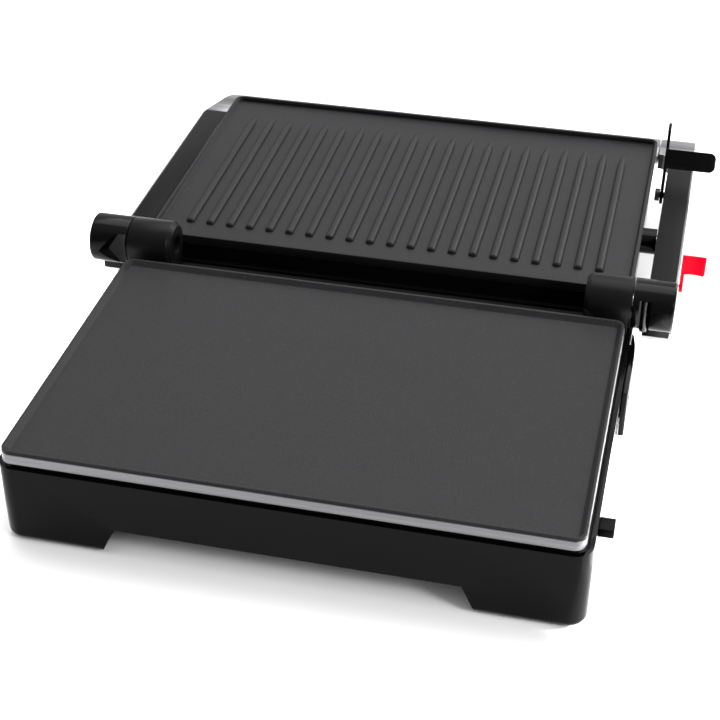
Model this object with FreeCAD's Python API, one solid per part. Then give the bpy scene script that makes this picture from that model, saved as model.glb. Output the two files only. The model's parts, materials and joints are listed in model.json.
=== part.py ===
import FreeCAD, Part
import math
import os

from FreeCAD import Vector

# A two-plate contact grill, opened flat. Millimetres. X is to the right, Y goes from the front of the
# base towards the hinge and on over the opened lid, and Z is up. The origin is on the table, under the
# middle of the lower plate. The lid is built where it lies when it is opened flat, on its back.

# ---------------------------------------------------------------- driving sizes
# plates
plate_width = 300.0
plate_depth = 192.0
plate_corner = 6.0
plate_top = 60.0            # lower plate's rim above the table
plate_flange = 1.8          # height of the edge that shows above the trim band
plate_stack = 7.0           # rim down to the underside
plate_floor = 4.0           # metal under the cooking surface
rim_land = 1.6              # flat on top of the rim
rim_slope = 3.2             # run of the sloped wall inside the rim
closed_gap = 2.4            # between the two rims when the lid is shut
hinge_gap = 19.8            # from each plate's edge to the hinge axis
hinge_lift = 0.2            # hinge axis above the lower rim

# ribs of the upper plate
rib_count = 21
rib_pitch = 12.9
rib_width = 5.4
rib_height = 2.6
rib_hinge_margin = 16.6     # from the hinge edge to the ribs
rib_far_margin = 22.0
rib_run_out = 16.0          # length over which a rib fades at its far end

# trim bands and the frames under the plates
band_wall = 1.6
band_proud = 0.3            # band beyond the plate's edge
band_lip = 0.6              # sheet under the plate
band_lip_run = 5.5
deck_neck_inset = 3.0       # dark recess under the band
deck_ring = 16.0            # width of the frame that carries the plate
deck_sink = 1.8             # frame below the housing's edge
rear_deck_thick = 3.0        # of the frame's lower step

# base housing
housing_side = 4.0          # housing beyond the plate at each side
housing_front = 0.5
housing_rear = 14.2         # housing behind the hinge axis
housing_top = 49.0
housing_rear_step = 3.5     # from the plate's rear edge to that step
housing_wall = 2.6
housing_corner = 10.0
housing_base = 1.0          # standing rim above the table
housing_edge = 4.5          # rounding of the bottom edge
flange_width = 15.0
flange_thick = 2.4
cutout_side = 50.5          # from the plate's side edge, at the table
cutout_slant = 8.0
cutout_height = 17.0
ledge_width = 3.0
ledge_thick = 2.4

# bottom cover, feet and cord inlet
cover_gap = 1.2             # above the front cut-out
cover_thick = 2.0
cover_clearance = 0.5
cover_screw_side = 25.0     # these six place the cover's screws from the plate's edges,
cover_screw_front = 26.0    # the tray and the hinge axis
cover_screw_rear = 36.0
cover_screw_tray = 14.0
cover_screw_middle = 12.0
cover_screw_hinge = 3.8
vent_count = 9
vent_pitch = 14.0
vent_width = 4.0
vent_length = 60.0
foot_radius = 7.0
foot_stud_radius = 3.0
foot_inset = 17.0
foot_gap = 0.6              # round each leg, in the standing rim
foot_stud_length = 5.0
inlet_inset = 8.0           # before the plate's rear edge
inlet_z = 29.8
inlet_radius = 7.0
inlet_bore = 3.6
inlet_reach = 5.0

# hinge
barrel_radius = 14.7
barrel_inside = 25.0        # fixed half's end, inside the plate's side edge
barrel_split = 2.0          # split between the halves, beyond that edge
barrel_outside = 26.5       # turning half's end, beyond that edge
barrel_clear = 2.1          # under the barrels, over the housing's lower step
barrel_bevel = 2.6
hinge_pin_radius = 5.0
hinge_pin_inside = 17.0
hinge_pin_outside = 21.0
turn_clearance = 0.05
seat_clearance = 0.02
knuckle_gap = 0.6
cable_hole_radius = 5.6
cable_hole_depth = 4.0
bracket_screw_inset = 6.6
bracket_screw_split = 9.8   # from the split to the outer screws
window_inner = 4.4          # from the split to the right knuckle's window
window_width = 6.8
window_depth = 5.6
window_above = 9.0          # window's top above the axis
stop_radius = 2.3
stop_drop = 12.5            # stop's lower end below the axis
stop_sink = 0.3             # stop's middle behind the window's floor

# arms and handle
arm_gap = 9.3               # from the plate's side edge to the arm
arm_width = 15.5
arm_top = 44.0
arm_root = 34.0             # from the hinge axis to the start of the straight arm
arm_root_bottom = 20.0
arm_end_bottom = 33.0
cap_neck = 7.0              # from the arm's end to the handle
arm_top_wall = 2.5
arm_side_wall = 2.2
arm_root_bevel = 1.0
arm_end_bevel = 6.0
arm_end_wall = 3.0
cap_screw_inset = 5.2       # from the arm's outer face
cap_screw_drop = 6.2        # below the arm's top
skin_wall = 1.5
skin_drop = 0.8             # skin's edge below the arm's top
neck_front = 3.0
neck_front_drop = 24.0
handle_gap = 6.4            # from the opened plate's far edge to the handle
handle_depth = 27.0
handle_belly = 11.0
handle_crown = 2.4
handle_wall = 1.4
cap_seam = 1.5              # beyond the plate's side edge
cap_chamfer_x = 10.8
cap_chamfer_y = 32.0
bar_gap = 0.4

# lid
lid_inset = 1.0
lid_wall = 2.4
lid_cover_height = 13.0
lid_cover_wall = 1.0
lid_cover_edge = 5.0
lid_edge_gap = 0.4          # between the lid housing's edge and its trim band
lid_deck_drop = 8.5         # from that edge down to the underside of the lid's frame
lid_pivot_z = 34.0
lid_boss_radius = 8.2
lid_pin_radius = 4.0
lid_pin_depth = 11.0
arm_bush_radius = 7.0
arm_bush_reach = 12.5
boss_gap = 0.4

# heating
element_radius = 3.25
element_side = 38.0         # from the plate's side edges
element_end = 40.0          # from the plate's front and rear edges
element_bend = 20.0
element_break = 15.0
element_gap = 0.05
terminal_radius = 1.5
terminal_length = 9.0
clamp_width = 12.0
clamp_length = 16.0
clamp_wall = 1.2
pan_wall = 0.5
pan_depth = 9.0
pan_clearance = 1.0
pan_corner = 14.0
pan_lip_run = 7.0
wire_hole_radius = 3.0
thermostat_radius = 9.0
thermostat_height = 5.5
thermostat_x = 40.0
fuse_radius = 2.2
fuse_length = 18.0

# screws
screw_radius = 1.65
screw_head_radius = 3.3
screw_head_height = 2.2
plate_screw_inset = 14.0    # from the plate's edges
plate_screw_bite = 2.8

# drip tray
tray_length = 118.0
tray_inset = 44.0           # from the tray's front to the plate's rear edge
tray_width = 56.0
tray_bottom = 24.0
tray_roof = 0.2             # between the tray's rim and the ledges over it
tray_wall = 1.4
tray_play = 0.7
tray_face_bottom = 13.0
tray_face_drop = 0.8        # face's top below the housing's lower step
tray_face_proud = 3.2
tray_face_gap = 0.3
tray_face_over = 2.0        # face beyond the tray, front and rear
drip_slot_inset = 6.2       # from the tray's inner end
drip_slot_length = 84.0
drip_slot_width = 4.0

# lid latch on the right-hand side
catch_reach = 8.0
catch_inset = 24.0          # behind the plate's front edge
catch_depth = 10.0
catch_thick = 5.0
catch_drop = 1.5            # below the housing's edge
latch_pivot_inset = 37.2    # behind the plate's front edge, with the lid shut
latch_pivot_z = 84.4
latch_gap = 2.8             # from the hook's inner face to the arm
latch_thick = 2.0
latch_clearance = 1.1
latch_nose = 7.0            # reach of the nose under the catch
latch_nose_thick = 2.4
latch_leg = 5.5             # width of the leg beside the catch
latch_eye_radius = 6.0
latch_boss_radius = 5.4
latch_tab_start = 18.0      # from the pivot, along the leg
latch_tab_length = 13.0
latch_tab_reach = 31.5
latch_tab_thick = 2.4
latch_screw_radius = 2.0

# hinge release lever on the right-hand arm
release_pivot = 62.0        # behind the hinge axis
release_pivot_z = 36.5
release_gap = 0.7
release_thick = 2.2
release_length = 20.0
release_tab_bottom = 34.0
release_tab_top = 47.0
release_tab_reach = 12.4
release_tab_thick = 2.4
release_pin_radius = 2.5
release_eye_radius = 3.8
pawl_thick = 2.0
pawl_half = 2.5
pawl_drop = 5.5             # tip below the pin

# indicator lamps in the lid's back
lens_radius = 3.5
lens_height = 2.4
lens_pitch = 16.0
lens_from_edge = 26.0

# ---------------------------------------------------------------- derived places
half_width = plate_width / 2
half_depth = plate_depth / 2
hinge_y = half_depth + hinge_gap
hinge_z = plate_top + hinge_lift
barrel_inner_x = half_width - barrel_inside
barrel_split_x = half_width + barrel_split
barrel_outer_x = half_width + barrel_outside
hinge_pin_inner_x = half_width - hinge_pin_inside
hinge_pin_outer_x = half_width + hinge_pin_outside
bracket_screw_outer_x = barrel_split_x - bracket_screw_split
arm_inner_x = half_width + arm_gap
arm_outer_x = arm_inner_x + arm_width
cap_seam_x = half_width + cap_seam
latch_inner_x = arm_inner_x - latch_gap
plate_screw_x = half_width - plate_screw_inset
plate_screw_y = half_depth - plate_screw_inset
element_half_x = half_width - element_side
element_half_y = half_depth - element_end
handle_near = hinge_gap + plate_depth + handle_gap
arm_length = handle_near - cap_neck
catch_front = catch_inset - half_depth
latch_pivot_y = latch_pivot_inset - half_depth
cutout_floor_half = half_width - cutout_side
cutout_top_half = cutout_floor_half - cutout_slant
inlet_y = half_depth - inlet_inset
tray_front = half_depth - tray_inset
housing_rear_top = hinge_z - barrel_radius - barrel_clear
tray_face_top = housing_rear_top - tray_face_drop
lid_y = hinge_y + hinge_gap + half_depth
lid_plate_top = 2 * hinge_z - plate_top - closed_gap
housing_half = half_width + housing_side
front_y = -half_depth - housing_front
rear_y = hinge_y + housing_rear
step_y = half_depth + housing_rear_step
cover_z = housing_base + cutout_height + cover_gap
deck_side = housing_half - housing_wall - 0.3
plate_under = plate_top - plate_stack
neck_top = plate_under - band_lip
deck_top = housing_top - deck_sink
rear_deck_top = housing_rear_top - deck_sink
deck_bottom = rear_deck_top - rear_deck_thick
tray_height = deck_bottom - ledge_thick - tray_roof - tray_bottom
lid_plate_under = lid_plate_top - plate_stack
lid_top_z = lid_plate_under - band_lip - lid_edge_gap
lid_deck_z = lid_top_z - lid_deck_drop
catch_top = housing_top - catch_drop
arm_end_y = hinge_y + arm_length
handle_y0 = hinge_y + handle_near
handle_y1 = handle_y0 + handle_depth
skin_outer_x = arm_outer_x + skin_wall
cap_screw_x = arm_outer_x - cap_screw_inset
cap_screw_z = arm_top - cap_screw_drop
release_x = skin_outer_x + release_gap
FAR = 500.0


# ---------------------------------------------------------------- helpers
def box(x0, x1, y0, y1, z0, z1):
    """A block between two corners."""
    return Part.makeBox(x1 - x0, y1 - y0, z1 - z0, Vector(x0, y0, z0))


def rod_x(radius, x0, x1, y, z):
    """A cylinder along X."""
    return Part.makeCylinder(radius, x1 - x0, Vector(x0, y, z), Vector(1, 0, 0))


def rod_y(radius, x, y0, y1, z):
    """A cylinder along Y."""
    return Part.makeCylinder(radius, y1 - y0, Vector(x, y0, z), Vector(0, 1, 0))


def rod_z(radius, x, y, z0, z1):
    """A cylinder along Z."""
    return Part.makeCylinder(radius, z1 - z0, Vector(x, y, z0), Vector(0, 0, 1))


def polygon(points):
    """A closed wire through the points."""
    return Part.makePolygon(list(points) + [points[0]])


def prism(points, along):
    """A solid swept from a flat outline."""
    return Part.Face(polygon(points)).extrude(along)


def prism_x(outline, x0, x1):
    """An outline given as (y, z) points, carried from x0 to x1."""
    return prism([Vector(x0, y, z) for y, z in outline], Vector(x1 - x0, 0, 0))


def rounded_wire(x0, x1, y0, y1, radius, z):
    """A rectangle with round corners at height z."""
    k = radius * (1 - math.sqrt(0.5))
    corners = [
        (Vector(x1 - radius, y0, z), Vector(x1 - k, y0 + k, z), Vector(x1, y0 + radius, z)),
        (Vector(x1, y1 - radius, z), Vector(x1 - k, y1 - k, z), Vector(x1 - radius, y1, z)),
        (Vector(x0 + radius, y1, z), Vector(x0 + k, y1 - k, z), Vector(x0, y1 - radius, z)),
        (Vector(x0, y0 + radius, z), Vector(x0 + k, y0 + k, z), Vector(x0 + radius, y0, z)),
    ]
    edges = []
    for i, (start, middle, end) in enumerate(corners):
        before = corners[i - 1][2]
        edges.append(Part.LineSegment(before, start).toShape())
        edges.append(Part.Arc(start, middle, end).toShape())
    return Part.Wire(edges)


def slab(x0, x1, y0, y1, radius, z0, z1):
    """A plate with round corners."""
    return Part.Face(rounded_wire(x0, x1, y0, y1, radius, z0)).extrude(Vector(0, 0, z1 - z0))


def ring(x0, x1, y0, y1, radius, wall, z0, z1):
    """A rounded rectangular frame of one wall thickness."""
    outer = slab(x0, x1, y0, y1, radius, z0, z1)
    return outer.cut(slab(x0 + wall, x1 - wall, y0 + wall, y1 - wall, max(radius - wall, 0.5), z0, z1))


def union(first, *others):
    """One solid from pieces that overlap or share faces."""
    return first.fuse(list(others)).removeSplitter()


def mirrored(shape):
    """The left-hand copy of a right-hand piece."""
    return shape.mirror(Vector(0, 0, 0), Vector(1, 0, 0))


def half_turn(y, z):
    """Where a point of the shut lid lies when the lid is opened flat, and back again."""
    return 2 * hinge_y - y, 2 * hinge_z - z


def screw_up(x, y, head_z, length, radius=screw_radius):
    """A screw driven upwards, with its head's underside at head_z."""
    head = rod_z(screw_head_radius, x, y, head_z - screw_head_height, head_z)
    shank = rod_z(radius, x, y, head_z, head_z + length)
    low = head_z - screw_head_height
    slot = box(x - 0.5, x + 0.5, y - FAR, y + FAR, low, low + 0.8)
    return head.fuse(shank).cut(slot)


def keep(name, shape):
    """Writes one piece."""
    shape.exportStep("parts/" + name + ".step")


# ---------------------------------------------------------------- plates
def plate_blank(y, top):
    """A plate's outside: a wide edge over a narrower body that drops inside the trim band."""
    inset = band_wall - band_proud + 0.6
    edge = slab(-half_width, half_width, y - half_depth, y + half_depth, plate_corner, top - plate_flange,
                top)
    body = slab(-half_width + inset, half_width - inset, y - half_depth + inset, y + half_depth - inset,
                plate_corner - inset, top - plate_stack, top - plate_flange)
    holes = [rod_z(screw_radius + 0.05, sx * plate_screw_x, y + sy * plate_screw_y, top - plate_stack,
                   top - plate_stack + plate_screw_bite + 0.1) for sx in (-1, 1) for sy in (-1, 1)]
    return union(edge, body).cut(holes)


def basin(y0, y1, top, open_y0=False):
    """What is taken out of a plate: flat floor, sloped walls. With open_y0 the wall at y0 is missing."""
    floor = top - plate_stack + plate_floor
    low_land = rim_land + rim_slope
    over = 0.5
    lean = rim_slope * over / (top - floor)
    start_low = y0 - 40.0 if open_y0 else y0 + low_land
    start_high = y0 - 40.0 if open_y0 else y0 + rim_land - lean
    low = rounded_wire(-half_width + low_land, half_width - low_land, start_low, y1 - low_land,
                       plate_corner - low_land, floor)
    high = rounded_wire(-half_width + rim_land - lean, half_width - rim_land + lean, start_high,
                        y1 - rim_land + lean, plate_corner - rim_land, top + over)
    return Part.makeLoft([low, high], True, True)


def griddle_plate():
    """The lower, flat plate."""
    return plate_blank(0, plate_top).cut(basin(-half_depth, half_depth, plate_top))


def rib(x, y0, y1, floor):
    """One rib: a half-round ridge that stops short at the hinge end and fades at the far end."""
    half = rib_width / 2
    sagitta_radius = (half * half + rib_height * rib_height) / (2 * rib_height)
    centre_z = floor + rib_height - sagitta_radius
    full = rod_y(sagitta_radius, x, y0, y1, centre_z)
    above = box(x - rib_width, x + rib_width, y0, y1, floor - 0.2, floor + rib_height + 1)
    fade = prism([Vector(x - rib_width, y1 - rib_run_out, floor + rib_height),
                  Vector(x - rib_width, y1 + 0.1, floor - 0.1),
                  Vector(x - rib_width, y1 + 0.1, floor + rib_height + 2),
                  Vector(x - rib_width, y1 - rib_run_out, floor + rib_height + 2)],
                 Vector(2 * rib_width, 0, 0))
    return full.common(above).cut(fade)


def ribbed_plate():
    """The upper plate, lying with its ribs up. It has no rim along the hinge, so fat runs off there."""
    y0 = lid_y - half_depth
    y1 = lid_y + half_depth
    floor = lid_plate_top - plate_stack + plate_floor
    blank = plate_blank(lid_y, lid_plate_top).cut(basin(y0, y1, lid_plate_top, open_y0=True))
    first = -rib_pitch * (rib_count - 1) / 2
    ribs = [rib(first + i * rib_pitch, y0 + rib_hinge_margin, y1 - rib_far_margin, floor)
            for i in range(rib_count)]
    return blank.fuse(ribs).removeSplitter()


def trim_band(y, top):
    """The bright steel band round a plate, with a lip that the plate sits on."""
    z1 = top - plate_flange
    z0 = top - plate_stack - band_lip
    out_x = half_width + band_proud
    out_y = half_depth + band_proud
    corner = plate_corner + band_proud
    wall = ring(-out_x, out_x, y - out_y, y + out_y, corner, band_wall, z0, z1)
    lip = ring(-out_x, out_x, y - out_y, y + out_y, corner, band_wall + band_lip_run, z0, z0 + band_lip)
    return union(wall, lip)


def opening(y, z0, z1, extra=0.0):
    """The hole in a plate's frame for its pan and element."""
    inset = deck_neck_inset + deck_ring - extra
    return slab(-half_width + inset, half_width - inset, y - half_depth + inset, y + half_depth - inset,
                pan_corner + extra, z0, z1)


def heat_pan(y, plate_bottom):
    """The bright pan under a heating element, hung by its lip between frame and plate."""
    inset = deck_neck_inset + deck_ring + pan_clearance
    x0, x1 = -half_width + inset, half_width - inset
    y0, y1 = y - half_depth + inset, y + half_depth - inset
    z1 = plate_bottom - 0.05
    z0 = z1 - pan_depth
    shell = slab(x0, x1, y0, y1, pan_corner, z0, z1)
    lip = slab(x0 - pan_lip_run, x1 + pan_lip_run, y0 - pan_lip_run, y1 + pan_lip_run,
               pan_corner + pan_lip_run, z1 - pan_wall, z1)
    hollow = slab(x0 + pan_wall, x1 - pan_wall, y0 + pan_wall, y1 - pan_wall, pan_corner - pan_wall,
                  z0 + pan_wall, z1)
    wire_x = element_break - terminal_length - 4
    wire_holes = [rod_z(wire_hole_radius, sx * wire_x, y + element_half_y, z0, z0 + pan_wall)
                  for sx in (-1, 1)]
    return union(shell, lip).cut([hollow] + wire_holes)


def element(y, plate_bottom):
    """A tube bent to a rectangle that is open at its far side, with a cold pin in each end."""
    z = plate_bottom - element_gap - element_radius
    hx, hy, r = element_half_x, element_half_y, element_bend
    k = r * (1 - math.sqrt(0.5))
    ends = [Vector(-element_break, y + hy, z), Vector(-hx + r, y + hy, z), Vector(-hx, y + hy - r, z),
            Vector(-hx, y - hy + r, z), Vector(-hx + r, y - hy, z), Vector(hx - r, y - hy, z),
            Vector(hx, y - hy + r, z), Vector(hx, y + hy - r, z), Vector(hx - r, y + hy, z),
            Vector(element_break, y + hy, z)]
    middles = [Vector(-hx + k, y + hy - k, z), Vector(-hx + k, y - hy + k, z), Vector(hx - k, y - hy + k, z),
               Vector(hx - k, y + hy - k, z)]
    edges = []
    for i in range(0, len(ends) - 1):
        if i % 2 == 0:
            edges.append(Part.LineSegment(ends[i], ends[i + 1]).toShape())
        else:
            edges.append(Part.Arc(ends[i], middles[i // 2], ends[i + 1]).toShape())
    path = Part.Wire(edges)
    section = Part.Wire(Part.makeCircle(element_radius, ends[0], Vector(1, 0, 0)))
    tube = path.makePipeShell([section], True, False)
    pins = [rod_x(terminal_radius, -element_break, -element_break + terminal_length, y + hy, z),
            rod_x(terminal_radius, element_break - terminal_length, element_break, y + hy, z)]
    return union(tube, *pins)


def clamps(y, plate_bottom):
    """Four saddles that hold the tube up against the plate."""
    z = plate_bottom - element_gap - element_radius
    saddles = []
    for sx in (-1, 1):
        for sy in (-1, 1):
            cx = sx * element_half_x * 0.5
            cy = y + sy * element_half_y
            block = box(cx - clamp_length / 2, cx + clamp_length / 2, cy - clamp_width / 2,
                        cy + clamp_width / 2, z - element_radius - clamp_wall, plate_bottom - element_gap)
            channel = rod_x(element_radius + 0.05, cx - clamp_length, cx + clamp_length, cy, z)
            mouth = box(cx - clamp_length, cx + clamp_length, cy - element_radius - 0.05,
                        cy + element_radius + 0.05, z, plate_bottom + 1)
            saddles.append(block.cut([channel, mouth]))
    return Part.makeCompound(saddles)


def thermostat(y, plate_bottom):
    """A bimetal switch pressed against the plate, with two blades."""
    top = plate_bottom - element_gap
    body = rod_z(thermostat_radius, thermostat_x, y, top - thermostat_height, top)
    blades = [box(thermostat_x + sx * 5.0 - 0.4, thermostat_x + sx * 5.0 + 0.4, y - 3.2, y + 3.2,
                  top - thermostat_height - 2.4, top - thermostat_height) for sx in (-1, 1)]
    return union(body, *blades)


def thermal_fuse(y, plate_bottom):
    """A one-shot fuse lying beside the thermostat, with its two leads."""
    z = plate_bottom - element_gap - fuse_radius
    body = rod_x(fuse_radius, -thermostat_x - fuse_length / 2, -thermostat_x + fuse_length / 2, y, z)
    leads = rod_x(0.6, -thermostat_x - fuse_length, -thermostat_x + fuse_length, y, z)
    return union(body, leads)


def plate_screws(y, frame_bottom):
    """The four screws that pull a plate down on its frame."""
    top = (plate_under if y == 0 else lid_plate_under) + plate_screw_bite
    return Part.makeCompound([screw_up(sx * plate_screw_x, y + sy * plate_screw_y, frame_bottom,
                                       top - frame_bottom) for sx in (-1, 1) for sy in (-1, 1)])


def plate_screw_holes(y):
    """Clearance holes for the plate screws."""
    return [rod_z(screw_radius + 0.15, sx * plate_screw_x, y + sy * plate_screw_y, 0, plate_top)
            for sx in (-1, 1) for sy in (-1, 1)]


# ---------------------------------------------------------------- base
def housing_block(inset, z0, z1, rear_z1):
    """The housing's outline: the full height under the plate and a lower step under the hinge."""
    radius = max(housing_corner - inset, 2.0)
    whole = slab(-housing_half + inset, housing_half - inset, front_y + inset, rear_y - inset, radius, z0, z1)
    return whole.cut(box(-FAR, FAR, step_y - inset, FAR, rear_z1, 2 * FAR))


def rounded_foot_edge(shape):
    """Rounds the lower outside edge of the housing."""
    low = [e for e in shape.Edges if abs(e.BoundBox.ZMax - housing_base) < 0.01
           and abs(e.BoundBox.ZMin - housing_base) < 0.01]
    return shape.makeFillet(housing_edge, low)


def tray_slot():
    """The slot in the right-hand wall for the drip tray."""
    return box(housing_half - housing_wall - ledge_width - 1, FAR, tray_front - tray_play,
               tray_front + tray_width + tray_play, tray_bottom - tray_play,
               tray_bottom + tray_height + tray_play)


def base_housing():
    """The black outer shell with its standing rim, open round the legs, and its front cut-out."""
    outer = rounded_foot_edge(housing_block(0, housing_base, housing_top, housing_rear_top))
    hollow = housing_block(housing_wall, housing_base + flange_thick, FAR, FAR)
    hatch = housing_block(flange_width, -1, FAR, FAR)
    shell = outer.cut([hollow, hatch])
    ledge_top = deck_bottom
    ledge = housing_block(housing_wall - 0.2, ledge_top - ledge_thick, ledge_top, FAR)
    ledge = ledge.cut(housing_block(housing_wall + ledge_width, 0, FAR, FAR))
    stop_z = cover_z + cover_thick
    stop = housing_block(housing_wall - 0.2, stop_z, stop_z + ledge_thick, FAR)
    stop = stop.cut(housing_block(housing_wall + ledge_width, 0, FAR, FAR))
    cutout = prism([Vector(-cutout_floor_half, front_y - 1, 0),
                    Vector(-cutout_top_half, front_y - 1, housing_base + cutout_height),
                    Vector(cutout_top_half, front_y - 1, housing_base + cutout_height),
                    Vector(cutout_floor_half, front_y - 1, 0)], Vector(0, flange_width + 2, 0))
    inlet_hole = rod_x(inlet_radius - 1.5, -FAR, -housing_half + 2 * housing_wall, inlet_y, inlet_z)
    leg_notches = [rod_z(foot_radius + foot_gap, x, y, 0, housing_base + flange_thick + 1)
                   for x, y in foot_places()]
    cuts = [cutout, tray_slot(), inlet_hole, catch_stem(seat_clearance)] + leg_notches
    return union(shell, ledge, stop).cut(cuts)


def foot_places():
    """Where the four rubber feet sit."""
    x = housing_half - foot_inset
    return [(sx * x, y) for sx in (-1, 1) for y in (front_y + foot_inset, rear_y - foot_inset)]


def rubber_feet():
    """Four pads with studs that push into the bottom cover's legs."""
    feet = []
    for x, y in foot_places():
        pad = rod_z(foot_radius, x, y, 0, housing_base)
        stud = rod_z(foot_stud_radius - seat_clearance, x, y, 0, housing_base + foot_stud_length)
        feet.append(union(pad, stud))
    return Part.makeCompound(feet)


def cover_screw_places():
    """Where the bottom cover is screwed up into the frame's pillars."""
    x = half_width - cover_screw_side
    front = cover_screw_front - half_depth
    return [(-x, front), (x, front), (-x, half_depth - cover_screw_rear), (x, tray_front - cover_screw_tray),
            (0.0, cover_screw_middle - half_depth), (0.0, hinge_y - cover_screw_hinge)]


def base_bottom_cover():
    """The vented plate that closes the base from below, with the tray's runners and four legs."""
    side = housing_wall + cover_clearance
    plate = housing_block(side, cover_z, cover_z + cover_thick, FAR)
    vents = []
    for i in range(vent_count):
        x = -vent_pitch * (vent_count - 1) / 2 + i * vent_pitch - 40
        vents.append(slab(x - vent_width / 2, x + vent_width / 2, -vent_length / 2 - 10, vent_length / 2 - 10,
                          vent_width / 2 - 0.05, cover_z - 1, cover_z + cover_thick + 1))
    x1 = housing_half - housing_wall - ledge_width - 2
    x0 = housing_half - tray_length
    runner_top = tray_bottom - 0.2
    runners = [box(x0, x1, y, y + 4, cover_z + cover_thick - 0.2, runner_top)
               for y in (tray_front + 5, tray_front + tray_width - 9)]
    legs = [rod_z(foot_radius, x, y, housing_base, cover_z + 0.5) for x, y in foot_places()]
    holes = [rod_z(screw_radius + 0.15, x, y, 0, FAR) for x, y in cover_screw_places()]
    holes += [rod_z(foot_stud_radius, x, y, 0, housing_base + foot_stud_length) for x, y in foot_places()]
    return union(plate, *(runners + legs)).cut(vents + holes)


def deck_pillars():
    """Round pillars under the frame that take the cover screws."""
    pillars = []
    for x, y in cover_screw_places():
        pillar = rod_z(4.5, x, y, cover_z + cover_thick, deck_bottom + 1)
        pillars.append(pillar.cut(rod_z(screw_radius + 0.02, x, y, 0, cover_z + cover_thick + 12)))
    return pillars


def base_deck():
    """The inner frame: it carries the plate, leaves the dark recess and closes the step under the hinge."""
    side = housing_wall + 0.3
    main = housing_block(side, deck_bottom, deck_top, rear_deck_top)
    rear = housing_block(side, deck_bottom, rear_deck_top, FAR)
    neck = slab(-half_width + deck_neck_inset, half_width - deck_neck_inset, -half_depth + deck_neck_inset,
                half_depth - deck_neck_inset, plate_corner - deck_neck_inset, deck_bottom, neck_top)
    arms = []
    for x, y in cover_screw_places():
        if abs(x) > 1:
            arms.append(box(min(x, math.copysign(deck_side, x)), max(x, math.copysign(deck_side, x)),
                            y - 4.5, y + 4.5, deck_bottom, deck_bottom + 2.5))
    drip_x = housing_half - tray_length + drip_slot_inset
    drip = slab(drip_x, drip_x + drip_slot_length, step_y + 1.0, step_y + 1.0 + drip_slot_width, 1.9, 0, FAR)
    frame = union(main, rear, neck).cut([opening(0, 0, FAR)] + [drip])
    frame = union(frame, *(deck_pillars() + arms))
    holes = plate_screw_holes(0)
    holes += [rod_z(screw_radius + 0.15, x, y, rear_deck_top - 5, rear_deck_top + 1)
              for x, y in bracket_screw_places()]
    return frame.cut(holes)


def base_cover_screws():
    """Screws of the bottom cover."""
    return Part.makeCompound([screw_up(x, y, cover_z, cover_thick + 9.0) for x, y in cover_screw_places()])


def bracket_screw_places():
    """Two screws under each hinge bracket."""
    rows = (barrel_inner_x + bracket_screw_inset, bracket_screw_outer_x)
    return [(sx * x, hinge_y - 3.0) for sx in (-1, 1) for x in rows]


def hinge_bracket():
    """Right-hand bracket: a foot on the frame that grows into the fixed half of the barrel."""
    barrel = rod_x(barrel_radius, barrel_inner_x, barrel_split_x, hinge_y, hinge_z)
    rim = [e for e in barrel.Edges if e.BoundBox.XMax < barrel_inner_x + 0.01]
    barrel = barrel.makeChamfer(barrel_bevel, rim)
    foot = box(barrel_inner_x + 1.0, barrel_split_x, step_y + 1.0, rear_y, rear_deck_top, hinge_z)
    foot = foot.cut(box(0, FAR, 0, hinge_y - barrel_radius, rear_deck_top, FAR))
    inset = housing_wall + 0.6
    inside = slab(-housing_half + inset, housing_half - inset, front_y + inset, rear_y - inset,
                  housing_corner - inset, 0, FAR)
    foot = foot.common(inside)
    bore = rod_x(hinge_pin_radius + seat_clearance, hinge_pin_inner_x - 0.05, FAR, hinge_y, hinge_z)
    pocket = rod_x(cable_hole_radius, barrel_inner_x - 1, barrel_inner_x + cable_hole_depth, hinge_y,
                   hinge_z)
    screws = [rod_z(screw_radius + 0.02, x, y, 0, rear_deck_top + 9.0)
              for x, y in bracket_screw_places() if x > 0]
    return union(barrel, foot).cut([bore, pocket] + screws)


def bracket_screws():
    """Screws that hold the two hinge brackets from inside the base."""
    return Part.makeCompound([screw_up(x, y, deck_bottom, 11.0) for x, y in bracket_screw_places()])


def hinge_pin():
    """Right-hand hinge pin, held in the bracket, with the arm's knuckle turning on it."""
    return rod_x(hinge_pin_radius, hinge_pin_inner_x, hinge_pin_outer_x, hinge_y, hinge_z)


def latch_catch():
    """The tab on the right-hand wall that the lid's hook takes hold of, with its stem in the wall."""
    y1 = catch_front + catch_depth
    tab = box(housing_half, housing_half + catch_reach, catch_front, y1, catch_top - catch_thick, catch_top)
    return union(tab, catch_stem(0))


def catch_stem(gap):
    """The part of the catch that is held in the wall, made larger by a gap for its hole."""
    y1 = catch_front + catch_depth
    return box(housing_half - housing_wall - gap, housing_half + gap, catch_front + 1.5 - gap, y1 - 1.5 + gap,
               catch_top - catch_thick + 1.0 - gap, catch_top - 1.0 + gap)


def cord_inlet():
    """The bush in the left-hand wall where a lead would go in."""
    wall_x = -housing_half
    collar = rod_x(inlet_radius, wall_x - inlet_reach, wall_x, inlet_y, inlet_z)
    neck = rod_x(inlet_radius - 1.5 - seat_clearance, wall_x, wall_x + housing_wall + 1.5, inlet_y, inlet_z)
    return union(collar, neck).cut(rod_x(inlet_bore, -FAR, 0, inlet_y, inlet_z))


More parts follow.
